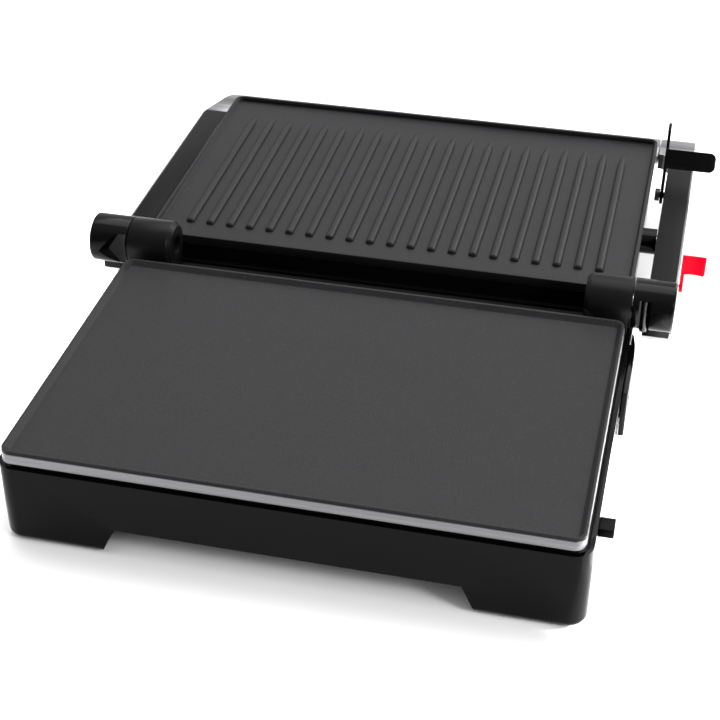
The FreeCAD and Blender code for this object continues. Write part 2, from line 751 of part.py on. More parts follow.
def drip_tray():
    """An open tray that slides out to the right. Its face stands proud of the wall and is a finger grip."""
    x0 = housing_half - tray_length
    x1 = housing_half + tray_face_gap
    y0, y1 = tray_front, tray_front + tray_width
    z0, z1 = tray_bottom, tray_bottom + tray_height
    bowl = box(x0, x1 + 0.5, y0, y1, z0, z1)
    hollow = slab(x0 + tray_wall, housing_half - housing_wall - 1.0, y0 + tray_wall, y1 - tray_wall, 3.0,
                  z0 + tray_wall, z1 + 1)
    face_x1 = x1 + tray_face_proud
    face_y0 = y0 - tray_face_over
    face_y1 = y1 + tray_face_over
    bulge = [Vector(x1, face_y0, tray_face_bottom), Vector(face_x1 - 0.6, face_y0, tray_face_bottom),
             Vector(face_x1, face_y0 + 0.6, tray_face_bottom), Vector(face_x1, y1 - 20.0, tray_face_bottom),
             Vector(x1 + tray_face_proud * 0.8, y1 - 9.0, tray_face_bottom),
             Vector(x1 + tray_face_proud * 0.35, face_y1 - 2.0, tray_face_bottom),
             Vector(x1, face_y1, tray_face_bottom)]
    face = prism(bulge, Vector(0, 0, tray_face_top - tray_face_bottom))
    grip = rod_x(7.0, face_x1 - 1.2, face_x1 + 5, face_y0 + 16, (tray_face_bottom + tray_face_top) / 2)
    return union(bowl.cut(hollow), face).cut(grip)


# ---------------------------------------------------------------- arms and handle
def arm_bottom(y):
    """Height of the arm's lower face at a distance along the arm."""
    share = (y - hinge_y - arm_root) / (arm_length - arm_root)
    return arm_root_bottom + (arm_end_bottom - arm_root_bottom) * share


def arm_section(y, x0, x1, z0, z1, bevel):
    """The arm's section at y: a box whose lower inner edge is bevelled."""
    return polygon([Vector(x0, y, z1), Vector(x1, y, z1), Vector(x1, y, z0), Vector(x0 + bevel, y, z0),
                    Vector(x0, y, z0 + bevel * 1.2)])


def arm_body(shrink_side, shrink_top, drop):
    """The tapering arm from root to caps, made smaller on the inside by the given walls."""
    sections = []
    for y, z0, bevel in ((hinge_y + arm_root, arm_root_bottom, arm_root_bevel),
                         (arm_end_y, arm_end_bottom, arm_end_bevel)):
        sections.append(arm_section(y, arm_inner_x + shrink_side, arm_outer_x, z0 - drop,
                                    arm_top - shrink_top, bevel))
    return Part.makeLoft(sections, True, True)


def arm_liner():
    """Right-hand arm: the black channel that faces up when the lid is open, with its bosses."""
    outside = arm_body(0, 0, 0)
    inside = arm_body(arm_side_wall, arm_top_wall, 3.0)
    root_y = hinge_y + arm_root
    ends = union(box(arm_inner_x, arm_outer_x, root_y, root_y + arm_end_wall, 0, arm_top),
                 box(arm_inner_x, arm_outer_x, arm_end_y - arm_end_wall, arm_end_y, 0, arm_top))
    ends = ends.common(outside)
    shell = outside.cut(inside)
    bush = rod_x(arm_bush_radius, arm_inner_x, arm_inner_x + arm_bush_reach, lid_y, lid_pivot_z)
    return union(shell, ends, bush).cut([lid_pin_bore(), cap_screw_hole(0.15)])


def lid_pin_bore():
    """The bore that the lid's pivot pin turns in."""
    return rod_x(lid_pin_radius + turn_clearance, arm_inner_x - 5, arm_inner_x + arm_bush_reach - 1.5, lid_y,
                 lid_pivot_z)


def arm_liner_right():
    """The right arm also carries the latch screw and the release lever's pin."""
    pivot_y, pivot_z = latch_pivot_open()
    latch_boss = rod_x(latch_boss_radius, arm_inner_x, arm_inner_x + 9, pivot_y, pivot_z)
    release_y = hinge_y + release_pivot
    release_boss = rod_x(5.2, arm_inner_x, arm_inner_x + 4.0, release_y, release_pivot_z)
    liner = union(arm_liner(), latch_boss, release_boss)
    return liner.cut([rod_x(latch_screw_radius - 0.2 + seat_clearance, arm_inner_x - 5, arm_inner_x + 8.0,
                            pivot_y, pivot_z),
                      rod_x(release_pin_radius + turn_clearance, arm_inner_x + 1.2, FAR, release_y,
                            release_pivot_z)])


def arm_skin(with_lever):
    """Right-hand steel skin: the arm's outer side and the face that is on top when the lid is shut."""
    rows = []
    for y, z0, bevel in ((hinge_y + arm_root, arm_root_bottom, arm_root_bevel),
                         (arm_end_y, arm_end_bottom, arm_end_bevel)):
        top = arm_top - skin_drop
        inner = arm_inner_x + bevel + 0.6
        side = arm_outer_x + seat_clearance
        under = z0 - seat_clearance
        rows.append(polygon([Vector(side, y, top), Vector(skin_outer_x, y, top),
                             Vector(skin_outer_x, y, z0 - skin_wall), Vector(inner, y, z0 - skin_wall),
                             Vector(inner, y, under), Vector(side, y, under)]))
    skin = Part.makeLoft(rows, True, True)
    if with_lever:
        hole = rod_x(release_pin_radius + turn_clearance, arm_outer_x - 1, FAR, hinge_y + release_pivot,
                     release_pivot_z)
        skin = skin.cut(hole)
    return skin


def arm_knuckle():
    """Right-hand knuckle: the turning half of the barrel and the neck that drops to the arm."""
    x0 = barrel_split_x + knuckle_gap
    barrel = rod_x(barrel_radius, x0, barrel_outer_x, hinge_y, hinge_z)
    end_rim = [e for e in barrel.Edges if e.BoundBox.XMin > barrel_outer_x - 0.01]
    barrel = barrel.makeFillet(1.6, end_rim)
    root_y = hinge_y + arm_root
    neck_z = hinge_z - neck_front_drop
    outline = [(hinge_y + neck_front, hinge_z), (hinge_y + neck_front, neck_z),
               (hinge_y + 18.0, arm_root_bottom + 4.0), (root_y, arm_root_bottom), (root_y, arm_top),
               (hinge_y + 22.0, arm_top + 2.0), (hinge_y + 13.0, hinge_z - 6.0), (hinge_y + 12.0, hinge_z)]
    neck = prism_x(outline, arm_inner_x, arm_outer_x + 0.3)
    bore = rod_x(hinge_pin_radius + turn_clearance, 0, hinge_pin_outer_x + 0.6, hinge_y, hinge_z)
    return union(barrel, neck).cut(bore)


def arm_knuckle_left():
    """The left knuckle has an arrow-shaped recess with slanted walls at its front, beside the split."""
    front = hinge_y - barrel_radius
    low_x = barrel_split_x + 1.4
    mouth = [(low_x, 15.5), (159.0, 15.5), (171.5, -1.5), (160.0, -15.5), (low_x, -15.5)]
    floor = [(low_x, 9.5), (158.5, 9.5), (165.5, -1.5), (158.5, -10.0), (low_x, -10.0)]
    wires = [polygon([Vector(x, front + y, hinge_z + z) for x, z in outline])
             for y, outline in ((-1.0, mouth), (4.6, floor))]
    return mirrored(arm_knuckle().cut(Part.makeLoft(wires, True, True)))


def arm_knuckle_right():
    """The right knuckle has an upright window at its front, where its stop can be seen."""
    front = hinge_y - barrel_radius
    x0 = barrel_split_x + window_inner
    window = box(x0, x0 + window_width, front - 1, front + window_depth, hinge_z - FAR,
                 hinge_z + window_above)
    return arm_knuckle().cut([window, knuckle_stop_rod(seat_clearance)])


def knuckle_stop_rod(gap):
    """The stop's outline, made larger by a gap for its seat in the knuckle."""
    x = barrel_split_x + window_inner + window_width / 2
    y = hinge_y - barrel_radius + window_depth + stop_sink
    return rod_z(stop_radius + gap, x, y, hinge_z - stop_drop, hinge_z + window_above - 0.5)


def knuckle_stop():
    """The round stop in the right knuckle's window, sunk in the window's floor and standing out below."""
    return knuckle_stop_rod(0)


def handle_profile(x, shrink=0.0):
    """The handle's section, nearly flat on top with a round belly below, made smaller by shrink."""
    top = arm_top - shrink
    middle = (handle_y0 + handle_y1) / 2
    edge = arm_top - handle_crown
    near = Vector(x, handle_y0 + shrink, edge)
    far = Vector(x, handle_y1 - shrink, edge)
    crown = Part.Arc(near, Vector(x, middle, top), far).toShape()
    belly = Part.Arc(far, Vector(x, middle, edge - handle_belly + shrink), near).toShape()
    return Part.Face(Part.Wire([crown, belly]))


def handle_bar():
    """The straight brushed tube that a hand lifts."""
    half = cap_seam_x - bar_gap
    length = Vector(2 * half, 0, 0)
    return handle_profile(-half).extrude(length).cut(handle_profile(-half, handle_wall).extrude(length))


def cap_blank(plan):
    """A cap cut from the handle's section and the arm's end by its plan outline."""
    z0 = arm_end_bottom - 4
    column = prism([Vector(x, y, z0) for x, y in plan], Vector(0, 0, arm_top - z0))
    profile = handle_profile(0).extrude(Vector(FAR, 0, 0))
    back_y = handle_y0 + 14.0
    arm_part = prism_x([(arm_end_y, arm_top), (back_y, arm_top), (back_y, arm_end_bottom - 0.6),
                        (arm_end_y, arm_end_bottom)], 0, FAR)
    return column.common(union(profile, arm_part))


def handle_cap_left():
    """The left cap, whose outer corner is cut off at a slant."""
    plan = [(arm_outer_x, arm_end_y), (arm_outer_x - cap_chamfer_x, arm_end_y + cap_chamfer_y),
            (arm_outer_x - cap_chamfer_x - 3.0, handle_y1 + 1), (cap_seam_x, handle_y1 + 1),
            (cap_seam_x, handle_y0 - 1), (cap_seam_x + 3.0, handle_y0 - 1), (arm_inner_x, arm_end_y)]
    return mirrored(cap_blank(plan).cut(cap_screw_hole(seat_clearance)))


def handle_cap_right():
    """The right cap, with a square outer corner."""
    plan = [(arm_outer_x + 0.6, arm_end_y), (arm_outer_x + 0.6, handle_y1 + 1), (cap_seam_x, handle_y1 + 1),
            (cap_seam_x, handle_y0 - 1), (cap_seam_x + 3.0, handle_y0 - 1), (arm_inner_x, arm_end_y)]
    return cap_blank(plan).cut(cap_screw_hole(seat_clearance))


def cap_screw_hole(gap):
    """Hole for the screw that holds a cap to the right-hand arm."""
    return rod_y(screw_radius + gap, cap_screw_x, arm_end_y - 4, arm_end_y + 8, cap_screw_z)


def cap_screws():
    """One screw through each arm's end wall into its cap."""
    head = rod_y(screw_head_radius, cap_screw_x, arm_end_y - arm_end_wall - screw_head_height,
                 arm_end_y - arm_end_wall, cap_screw_z)
    shank = rod_y(screw_radius, cap_screw_x, arm_end_y - arm_end_wall, arm_end_y + 7, cap_screw_z)
    screw = union(head, shank)
    return Part.makeCompound([screw, mirrored(screw)])


# ---------------------------------------------------------------- lid
def lid_housing():
    """The lid's black wall, with the round bosses that its pivot pins sit in."""
    hx = half_width - lid_inset
    hy = half_depth - lid_inset
    wall = ring(-hx, hx, lid_y - hy, lid_y + hy, plate_corner - lid_inset, lid_wall, lid_cover_height,
                lid_top_z)
    bosses = []
    for sx in (-1, 1):
        outer = arm_inner_x - boss_gap
        boss = rod_x(lid_boss_radius, hx - lid_pin_depth, outer, lid_y, lid_pivot_z)
        bosses.append(boss if sx > 0 else mirrored(boss))
    stop_ring = ring(-hx + 0.5, hx - 0.5, lid_y - hy + 0.5, lid_y + hy - 0.5, plate_corner - lid_inset - 0.5,
                     lid_wall + 3.0, lid_deck_z - 2.4, lid_deck_z)
    bore = rod_x(lid_pin_radius + seat_clearance, hx - lid_pin_depth + 1.5, FAR, lid_y, lid_pivot_z)
    return union(wall, stop_ring, *bosses).cut([bore, mirrored(bore)])


def lid_pivot_pin():
    """Right-hand pivot pin, fixed in the lid and turning in the arm."""
    hx = half_width - lid_inset
    return rod_x(lid_pin_radius, hx - lid_pin_depth + 1.6, arm_inner_x + arm_bush_reach - 2.0, lid_y,
                 lid_pivot_z)


def lid_deck():
    """The frame inside the lid that carries the ribbed plate."""
    side = lid_inset + lid_wall + 0.3
    neck_side = side + 0.6
    low = slab(-half_width + side, half_width - side, lid_y - half_depth + side, lid_y + half_depth - side,
               plate_corner - side, lid_deck_z, lid_top_z - 2.0)
    neck = slab(-half_width + neck_side, half_width - neck_side, lid_y - half_depth + neck_side,
                lid_y + half_depth - neck_side, plate_corner - neck_side, lid_deck_z,
                lid_plate_under - band_lip)
    boss_end = half_width - lid_inset - lid_pin_depth - boss_gap
    notch = box(boss_end, FAR, lid_y - lid_boss_radius - boss_gap, lid_y + lid_boss_radius + boss_gap, 0,
                lid_pivot_z + lid_boss_radius + boss_gap)
    return union(low, neck).cut([opening(lid_y, 0, FAR), notch, mirrored(notch)] + plate_screw_holes(lid_y))


def lid_cover():
    """The steel back of the lid, on which it rests when it is opened flat."""
    hx = half_width - lid_inset - 0.2
    hy = half_depth - lid_inset - 0.2
    outer = slab(-hx, hx, lid_y - hy, lid_y + hy, plate_corner - lid_inset, 0, lid_cover_height)
    low = [e for e in outer.Edges if abs(e.BoundBox.ZMax) < 0.01 and abs(e.BoundBox.ZMin) < 0.01]
    outer = outer.makeFillet(lid_cover_edge, low)
    t = lid_cover_wall
    inner = slab(-hx + t, hx - t, lid_y - hy + t, lid_y + hy - t, plate_corner - lid_inset - t, t,
                 lid_cover_height + 1)
    inner_low = [e for e in inner.Edges
                 if abs(e.BoundBox.ZMax - t) < 0.01 and abs(e.BoundBox.ZMin - t) < 0.01]
    inner = inner.makeFillet(lid_cover_edge - t, inner_low)
    return outer.cut([inner] + [rod_z(lens_radius + seat_clearance, x, y, -1, 10) for x, y in lens_places()])


def lens_places():
    """Two lamp lenses near the lid's far edge."""
    return [(sx * lens_pitch / 2, lid_y + half_depth - lens_from_edge) for sx in (-1, 1)]


def indicator_lenses():
    """Two round lamp lenses, set a little below the steel so that the lid rests on the steel."""
    return Part.makeCompound([rod_z(lens_radius, x, y, 0.3, lens_height) for x, y in lens_places()])


# ---------------------------------------------------------------- latch and release lever
def latch_pivot_open():
    """The latch's pivot with the lid opened flat."""
    return half_turn(latch_pivot_y, latch_pivot_z)


def lock_lever():
    """A flat hook beside the right arm. With the lid shut its leg stands before the catch, its nose under."""
    leg_back = catch_front - latch_clearance
    leg_front = leg_back - latch_leg
    nose_top = catch_top - catch_thick - latch_clearance
    nose_low = nose_top - latch_nose_thick
    shut = [(latch_pivot_y + latch_eye_radius * 0.95, latch_pivot_z - 1.6), (leg_back, catch_top + 7.0),
            (leg_back, nose_top), (leg_back + latch_nose, nose_top), (leg_back + latch_nose, nose_top - 1.2),
            (leg_front + 2.5, nose_low), (leg_front, nose_low + 4.0),
            (latch_pivot_y - latch_eye_radius * 0.95, latch_pivot_z + 1.6)]
    blade = prism_x([half_turn(y, z) for y, z in shut], latch_inner_x, latch_inner_x + latch_thick)
    pivot_y, pivot_z = latch_pivot_open()
    eye = rod_x(latch_eye_radius, latch_inner_x, latch_inner_x + latch_thick, pivot_y, pivot_z)
    hole = rod_x(latch_screw_radius + turn_clearance, 0, FAR, pivot_y, pivot_z)
    return union(blade, eye, latch_tab()).cut(hole)


def latch_tab():
    """The hook's finger tab: a plate across the arm, set along the leg, with round outer corners."""
    pivot_y, pivot_z = latch_pivot_open()
    foot_y, foot_z = half_turn(catch_front - latch_clearance - latch_leg / 2, catch_top)
    lean = math.atan2(foot_y - pivot_y, foot_z - pivot_z)
    x1 = latch_inner_x + latch_thick + latch_tab_reach
    z0 = pivot_z + latch_tab_start
    tab = box(latch_inner_x, x1, pivot_y - latch_tab_thick / 2, pivot_y + latch_tab_thick / 2, z0,
              z0 + latch_tab_length)
    corners = [e for e in tab.Edges if e.BoundBox.XMin > x1 - 0.01 and e.BoundBox.YLength > 1
               and e.BoundBox.ZLength < 0.01]
    tab = tab.makeFillet(4.0, corners)
    tab.rotate(Vector(0, pivot_y, pivot_z), Vector(1, 0, 0), -math.degrees(lean))
    return tab


def lock_screw():
    """The shouldered screw that the hook turns on."""
    y, z = latch_pivot_open()
    head = rod_x(4.2, latch_inner_x - 3.4, latch_inner_x - 0.3, y, z)
    shank = rod_x(latch_screw_radius, latch_inner_x - 0.3, arm_inner_x - 0.1, y, z)
    thread = rod_x(latch_screw_radius - 0.2, arm_inner_x - 0.1, arm_inner_x + 7.0, y, z)
    slot = box(latch_inner_x - 3.5, latch_inner_x - 2.6, y - 10, y + 10, z - 0.5, z + 0.5)
    return union(head, shank, thread).cut(slot)


def lever_shape():
    """Right-hand release lever: an eye on the pin, a flat blade and a broad finger tab that stands out."""
    y0 = hinge_y + release_pivot
    y1 = y0 + release_length
    x0, x1 = release_x, release_x + release_thick
    eye = rod_x(release_eye_radius, x0, x1, y0, release_pivot_z)
    root = release_eye_radius - 0.6
    blade = prism_x([(y0 - 1.0, release_pivot_z + root), (y1, release_tab_top), (y1, release_tab_bottom),
                     (y0 - 1.0, release_pivot_z - root)], x0, x1)
    reach = x1 + release_tab_reach
    tab = box(x0, reach, y1 - release_tab_thick, y1, release_tab_bottom, release_tab_top)
    corner = [e for e in tab.Edges
              if e.BoundBox.XMin > reach - 0.01 and e.BoundBox.ZMax < release_tab_bottom + 0.01]
    tab = tab.makeFillet(2.5, corner)
    hole = rod_x(release_pin_radius + seat_clearance, 0, FAR, y0, release_pivot_z)
    return union(eye, blade, tab).cut(hole)


def release_pin():
    """The pin that turns with the release lever and carries its pawl inside the arm."""
    y = hinge_y + release_pivot
    return rod_x(release_pin_radius, arm_inner_x + 1.4, release_x + release_thick, y, release_pivot_z)


def release_pawl():
    """The steel pawl inside the arm, on the same pin as the lever."""
    y0 = hinge_y + release_pivot
    x0 = arm_inner_x + 7.0
    tip = hinge_y + arm_root + 4.5
    tip_z = release_pivot_z - pawl_drop
    blade = prism_x([(y0 + 3.5, release_pivot_z + 3.5), (tip, tip_z + pawl_half), (tip, tip_z - pawl_half),
                     (y0 + 3.5, release_pivot_z - 3.5)], x0, x0 + pawl_thick)
    return blade.cut(rod_x(release_pin_radius + seat_clearance, 0, FAR, y0, release_pivot_z))


def release_spring():
    """The small coil round the pin that brings the lever back."""
    y = hinge_y + release_pivot
    turns, pitch, wire = 3.0, 1.3, 0.5
    x0 = arm_inner_x + 10.2
    helix = Part.makeHelix(pitch, pitch * turns, release_pin_radius + 1.3)
    helix.rotate(Vector(0, 0, 0), Vector(0, 1, 0), 90)
    helix.translate(Vector(x0, y, release_pivot_z))
    start = helix.Vertexes[0].Point
    section = Part.Wire(Part.makeCircle(wire, start, Vector(0, 1, 0)))
    return Part.Wire(helix.Edges).makePipeShell([section], True, True)


def build():
    """Makes every piece and writes it."""
    os.makedirs("parts", exist_ok=True)
    keep("base_housing", base_housing())
    keep("rubber_feet", rubber_feet())
    keep("base_bottom_cover", base_bottom_cover())
    keep("base_cover_screws", base_cover_screws())
    keep("base_deck", base_deck())
    keep("lower_trim_band", trim_band(0, plate_top))
    keep("lower_griddle_plate", griddle_plate())
    keep("lower_heat_pan", heat_pan(0, plate_under))
    keep("lower_heating_element", element(0, plate_under))
    keep("lower_element_clamps", clamps(0, plate_under))
    keep("lower_thermostat", thermostat(0, plate_under))
    keep("lower_plate_screws", plate_screws(0, deck_bottom))
    keep("thermal_fuse", thermal_fuse(0, plate_under))
    keep("hinge_bracket_right", hinge_bracket())
    keep("hinge_bracket_left", mirrored(hinge_bracket()))
    keep("hinge_bracket_screws", bracket_screws())
    keep("hinge_pin_right", hinge_pin())
    keep("hinge_pin_left", mirrored(hinge_pin()))
    keep("latch_catch", latch_catch())
    keep("cord_inlet", cord_inlet())
    keep("drip_tray", drip_tray())
    keep("arm_knuckle_right", arm_knuckle_right())
    keep("arm_knuckle_left", arm_knuckle_left())
    keep("knuckle_stop", knuckle_stop())
    keep("arm_liner_right", arm_liner_right())
    keep("arm_liner_left", mirrored(arm_liner()))
    keep("arm_skin_right", arm_skin(True))
    keep("arm_skin_left", mirrored(arm_skin(False)))
    keep("handle_bar", handle_bar())
    keep("handle_cap_right", handle_cap_right())
    keep("handle_cap_left", handle_cap_left())
    keep("handle_cap_screws", cap_screws())
    keep("lid_housing", lid_housing())
    keep("lid_cover", lid_cover())
    keep("lid_deck", lid_deck())
    keep("lid_pivot_pin_right", lid_pivot_pin())
    keep("lid_pivot_pin_left", mirrored(lid_pivot_pin()))
    keep("upper_trim_band", trim_band(lid_y, lid_plate_top))
    keep("upper_ribbed_plate", ribbed_plate())
    keep("upper_heat_pan", heat_pan(lid_y, lid_plate_under))
    keep("upper_heating_element", element(lid_y, lid_plate_under))
    keep("upper_element_clamps", clamps(lid_y, lid_plate_under))
    keep("upper_thermostat", thermostat(lid_y, lid_plate_under))
    keep("upper_plate_screws", plate_screws(lid_y, lid_deck_z))
    keep("indicator_lenses", indicator_lenses())
    keep("lock_lever", lock_lever())
    keep("lock_lever_screw", lock_screw())
    keep("release_lever", lever_shape())
    keep("release_pin", release_pin())
    keep("release_pawl", release_pawl())
    keep("release_spring", release_spring())


build()
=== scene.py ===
"""Looks of a two-plate contact grill that lies opened flat: finishes, detailed pieces, light and camera."""

import json
import logging
import math
from dataclasses import dataclass, field
from enum import Enum
from typing import Callable, Sequence

import bmesh
import bpy
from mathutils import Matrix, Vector


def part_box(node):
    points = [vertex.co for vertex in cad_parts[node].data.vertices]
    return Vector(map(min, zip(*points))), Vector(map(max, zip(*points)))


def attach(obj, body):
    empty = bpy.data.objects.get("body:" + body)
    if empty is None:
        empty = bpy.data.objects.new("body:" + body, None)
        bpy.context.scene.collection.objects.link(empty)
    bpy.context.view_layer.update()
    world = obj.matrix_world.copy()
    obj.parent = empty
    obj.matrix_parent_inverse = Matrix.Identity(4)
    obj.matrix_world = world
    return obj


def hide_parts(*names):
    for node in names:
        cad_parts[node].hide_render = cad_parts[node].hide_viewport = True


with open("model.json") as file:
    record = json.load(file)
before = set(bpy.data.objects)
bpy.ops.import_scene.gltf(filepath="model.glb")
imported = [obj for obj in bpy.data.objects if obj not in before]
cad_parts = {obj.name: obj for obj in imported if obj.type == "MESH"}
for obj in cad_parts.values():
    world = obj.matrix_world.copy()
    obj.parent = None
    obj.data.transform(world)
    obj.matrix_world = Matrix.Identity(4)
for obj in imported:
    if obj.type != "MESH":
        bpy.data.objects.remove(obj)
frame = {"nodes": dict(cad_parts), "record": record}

LOG = logging.getLogger("grill")
MM = 0.001
NEAR = 0.1 * MM
MERGE_WITHIN = 0.01 * MM
FLAT_FACE = 0.9
SMOOTH_ANGLE = math.radians(35.0)
DISSOLVE_ANGLE = math.radians(0.6)
NOISE_RANGE = (0.3, 0.7)
TONE_STOPS = (0.35, 0.65)
FLECK_STOPS = (0.58, 0.74)
POOL_EDGE = 0.08
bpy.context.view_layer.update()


# ------------------------------------------------------------------ finishes
class Grain(Enum):
    """How a surface is worked, as the stretch of its pattern along X, Y and Z."""

    MOULDED = (1.0, 1.0, 1.0)
    BRUSHED_X = (0.012, 1.0, 1.0)
    BRUSHED_Y = (1.0, 0.012, 1.0)


@dataclass(frozen=True)
class Finish:
    """One finish: base colour, gloss, and a grain that shows in its gloss, colour and relief.

    Sizes are in metres. coarse is the size of the broad clouding and fine the size of one grain.
    """

    name: str
    colour: tuple[float, float, float]
    roughness: float
    metallic: float = 0.0
    specular: float = 0.5
    grain: Grain = Grain.MOULDED
    fine: float = 0.0006
    coarse: float = 0.03
    relief: float = 0.00002
    gloss_spread: float = 0.06
    tone_spread: float = 0.12
    coat: float = 0.0
    coat_roughness: float = 0.08
    speckle: float = 0.0

    def material(self) -> bpy.types.Material:
        """Builds the finish's node material.

        Returns:
            The material, named after the finish.
        """
        made = bpy.data.materials.get(self.name)
        if made:
            return made
        made = bpy.data.materials.new(self.name)
        made.use_nodes = True
        nodes = made.node_tree.nodes
        links = made.node_tree.links
        shader = nodes["Principled BSDF"]
        shader.inputs["Metallic"].default_value = self.metallic
        shader.inputs["Specular IOR Level"].default_value = self.specular
        shader.inputs["Coat Weight"].default_value = self.coat
        shader.inputs["Coat Roughness"].default_value = self.coat_roughness
        coordinates = nodes.new("ShaderNodeTexCoord")
        stretch = nodes.new("ShaderNodeMapping")
        stretch.inputs["Scale"].default_value = self.grain.value
        links.new(coordinates.outputs["Object"], stretch.inputs["Vector"])
        fine = self._noise(nodes, links, stretch, 1.0 / self.fine, 3.0)
        coarse = self._noise(nodes, links, stretch, 1.0 / self.coarse, 4.0)
        gloss = self._mix_values(nodes, links, fine, coarse)
        self._spread(nodes, links, gloss, shader.inputs["Roughness"], self.roughness, self.gloss_spread)
        self._tone(nodes, links, coarse, fine, shader.inputs["Base Color"])
        bump = nodes.new("ShaderNodeBump")
        bump.inputs["Strength"].default_value = 0.6
        bump.inputs["Distance"].default_value = self.relief
        links.new(fine, bump.inputs["Height"])
        links.new(bump.outputs["Normal"], shader.inputs["Normal"])
        return made

    @staticmethod
    def _noise(nodes: bpy.types.Nodes, links: bpy.types.NodeLinks, stretch: bpy.types.Node, scale: float,
               detail: float) -> bpy.types.NodeSocket:
        """A noise on stretched object coordinates; returns its value socket."""
        noise = nodes.new("ShaderNodeTexNoise")
        noise.inputs["Scale"].default_value = scale
        noise.inputs["Detail"].default_value = detail
        links.new(stretch.outputs["Vector"], noise.inputs["Vector"])
        return noise.outputs["Fac"]

    @staticmethod
    def _mix_values(nodes: bpy.types.Nodes, links: bpy.types.NodeLinks, first: bpy.types.NodeSocket,
                    second: bpy.types.NodeSocket) -> bpy.types.NodeSocket:
        """The mean of two values; returns its socket."""
        mean = nodes.new("ShaderNodeMath")
        mean.operation = "ADD"
        half = nodes.new("ShaderNodeMath")
        half.operation = "MULTIPLY"
        half.inputs[1].default_value = 0.5
        links.new(first, mean.inputs[0])
        links.new(second, mean.inputs[1])
        links.new(mean.outputs[0], half.inputs[0])
        return half.outputs[0]

    @staticmethod
    def _spread(nodes: bpy.types.Nodes, links: bpy.types.NodeLinks, source: bpy.types.NodeSocket,
                target: bpy.types.NodeSocket, middle: float, spread: float) -> None:
        """Maps a noise value to a range about a middle value and links it to a socket."""
        ranged = nodes.new("ShaderNodeMapRange")
        ranged.inputs["From Min"].default_value = NOISE_RANGE[0]
        ranged.inputs["From Max"].default_value = NOISE_RANGE[1]
        ranged.inputs["To Min"].default_value = max(middle - spread, 0.02)
        ranged.inputs["To Max"].default_value = min(middle + spread, 1.0)
        links.new(source, ranged.inputs["Value"])
        links.new(ranged.outputs["Result"], target)

    def _tone(self, nodes: bpy.types.Nodes, links: bpy.types.NodeLinks, coarse: bpy.types.NodeSocket,
              fine: bpy.types.NodeSocket, target: bpy.types.NodeSocket) -> None:
        """Clouds the colour with the coarse noise, and adds pale speckles from the fine one."""
        ramp = nodes.new("ShaderNodeValToRGB")
        dark = tuple(c * (1 - self.tone_spread) for c in self.colour)
        light = tuple(min(c * (1 + self.tone_spread), 1.0) for c in self.colour)
        ramp.color_ramp.elements[0].position = TONE_STOPS[0]
        ramp.color_ramp.elements[0].color = (*dark, 1.0)
        ramp.color_ramp.elements[1].position = TONE_STOPS[1]
        ramp.color_ramp.elements[1].color = (*light, 1.0)
        links.new(coarse, ramp.inputs["Fac"])
        if self.speckle <= 0:
            links.new(ramp.outputs["Color"], target)
            return
        flecks = nodes.new("ShaderNodeValToRGB")
        flecks.color_ramp.elements[0].position = FLECK_STOPS[0]
        flecks.color_ramp.elements[0].color = (0.0, 0.0, 0.0, 1.0)
        flecks.color_ramp.elements[1].position = FLECK_STOPS[1]
        flecks.color_ramp.elements[1].color = (self.speckle, self.speckle, self.speckle, 1.0)
        links.new(fine, flecks.inputs["Fac"])
        mix = nodes.new("ShaderNodeMix")
        mix.data_type = "RGBA"
        mix.blend_type = "ADD"
        mix.inputs["Factor"].default_value = 1.0
        links.new(ramp.outputs["Color"], mix.inputs["A"])
        links.new(flecks.outputs["Color"], mix.inputs["B"])
        links.new(mix.outputs["Result"], target)


GLOSS_BLACK = Finish("gloss_black_moulding", (0.0014, 0.0014, 0.0017), 0.12, specular=0.08, fine=0.0009,
                     relief=0.000003, gloss_spread=0.025)
SATIN_BLACK = Finish("satin_black_moulding", (0.0028, 0.0028, 0.0032), 0.34, specular=0.07, fine=0.0007,
                     relief=0.00001, gloss_spread=0.04)
KNUCKLE_BLACK = Finish("polished_black_moulding", (0.001, 0.001, 0.0012), 0.16, specular=0.09, fine=0.0009,
                       relief=0.000003, gloss_spread=0.02)
MATT_BLACK = Finish("matt_black_moulding", (0.004, 0.004, 0.0045), 0.5, specular=0.12, fine=0.0005,
                    relief=0.00003, gloss_spread=0.05)
ARM_BLACK = Finish("grained_black_moulding", (0.003, 0.003, 0.0034), 0.42, specular=0.05, fine=0.0004,
                   relief=0.00003, gloss_spread=0.06)
LATCH_BLACK = Finish("glass_filled_black", (0.0012, 0.0012, 0.0014), 0.4, specular=0.04, fine=0.0004,
                     relief=0.00003)
RED = Finish("gloss_red_moulding", (0.5, 0.0006, 0.011), 0.25, specular=0.02, fine=0.0008, relief=0.000004,
             gloss_spread=0.04, tone_spread=0.02)
NON_STICK = Finish("non_stick_coat", (0.0105, 0.0105, 0.0115), 0.44, specular=0.1, fine=0.0008, coarse=0.05,
                   relief=0.0003, gloss_spread=0.1, tone_spread=0.1, speckle=0.018)
BRUSHED_TRIM = Finish("brushed_steel_across", (0.17, 0.17, 0.175), 0.36, metallic=1.0, grain=Grain.BRUSHED_X,
                      fine=0.0006, coarse=0.004, relief=0.00002, gloss_spread=0.09, tone_spread=0.25)
BRUSHED_HANDLE = Finish("brushed_steel_handle", (0.16, 0.16, 0.165), 0.34, metallic=1.0,
                        grain=Grain.BRUSHED_X, fine=0.0009, coarse=0.006, relief=0.00003, gloss_spread=0.12,
                        tone_spread=0.35)
BRUSHED_ARM = Finish("brushed_steel_along", (0.17, 0.17, 0.174), 0.3, metallic=1.0, grain=Grain.BRUSHED_Y,
                     fine=0.0006, coarse=0.004, relief=0.00001, gloss_spread=0.08, tone_spread=0.1)
BLACKED = Finish("blacked_steel", (0.03, 0.03, 0.032), 0.3, metallic=1.0, fine=0.0006, relief=0.00001)
PLATED = Finish("plated_sheet", (0.66, 0.65, 0.62), 0.28, metallic=1.0, fine=0.002, relief=0.00001)
